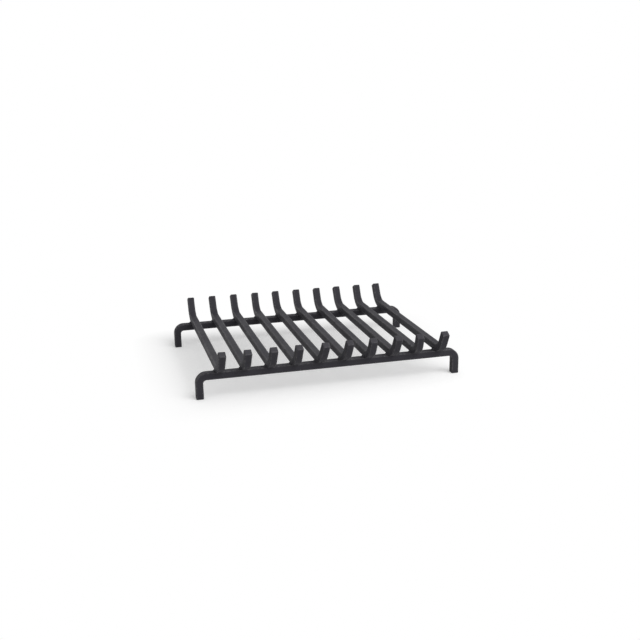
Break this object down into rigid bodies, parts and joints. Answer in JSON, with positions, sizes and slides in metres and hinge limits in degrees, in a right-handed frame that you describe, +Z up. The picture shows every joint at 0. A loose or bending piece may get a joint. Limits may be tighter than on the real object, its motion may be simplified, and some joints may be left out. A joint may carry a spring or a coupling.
{
  "type": "log grate",
  "caption": "Welded square-bar hearth grate: rails bent down into legs carry cross bars whose ends are bent up into outward-leaning horns.",
  "frame": {"origin": "on the hearth under the middle of the grate", "axes": "+X along the rails to the right, +Y to the back, +Z up"},
  "size_m": [0.5092, 0.4328, 0.0969],
  "materials": {
    "coated_bar": "matt charcoal-black heat-resistant coating over rolled square steel bar",
    "coated_weld": "the same matt coating over rippled weld beads"
  },
  "bodies": {
    "root": {"front_rail": "coated_bar", "rear_rail": "coated_bar", "cross_bar_01": "coated_bar", "cross_bar_02": "coated_bar", "cross_bar_03": "coated_bar", "cross_bar_04": "coated_bar", "cross_bar_05": "coated_bar", "cross_bar_06": "coated_bar", "cross_bar_07": "coated_bar", "cross_bar_08": "coated_bar", "cross_bar_09": "coated_bar", "cross_bar_10": "coated_bar", "weld_front_01_left": "coated_weld", "weld_front_01_right": "coated_weld", "weld_front_02_left": "coated_weld", "weld_front_02_right": "coated_weld", "weld_front_03_left": "coated_weld", "weld_front_03_right": "coated_weld", "weld_front_04_left": "coated_weld", "weld_front_04_right": "coated_weld", "weld_front_05_left": "coated_weld", "weld_front_05_right": "coated_weld", "weld_front_06_left": "coated_weld", "weld_front_06_right": "coated_weld", "weld_front_07_left": "coated_weld", "weld_front_07_right": "coated_weld", "weld_front_08_left": "coated_weld", "weld_front_08_right": "coated_weld", "weld_front_09_left": "coated_weld", "weld_front_09_right": "coated_weld", "weld_front_10_left": "coated_weld", "weld_front_10_right": "coated_weld", "weld_rear_01_left": "coated_weld", "weld_rear_01_right": "coated_weld", "weld_rear_02_left": "coated_weld", "weld_rear_02_right": "coated_weld", "weld_rear_03_left": "coated_weld", "weld_rear_03_right": "coated_weld", "weld_rear_04_left": "coated_weld", "weld_rear_04_right": "coated_weld", "weld_rear_05_left": "coated_weld", "weld_rear_05_right": "coated_weld", "weld_rear_06_left": "coated_weld", "weld_rear_06_right": "coated_weld", "weld_rear_07_left": "coated_weld", "weld_rear_07_right": "coated_weld", "weld_rear_08_left": "coated_weld", "weld_rear_08_right": "coated_weld", "weld_rear_09_left": "coated_weld", "weld_rear_09_right": "coated_weld", "weld_rear_10_left": "coated_weld", "weld_rear_10_right": "coated_weld"}
  },
  "joints": []
}
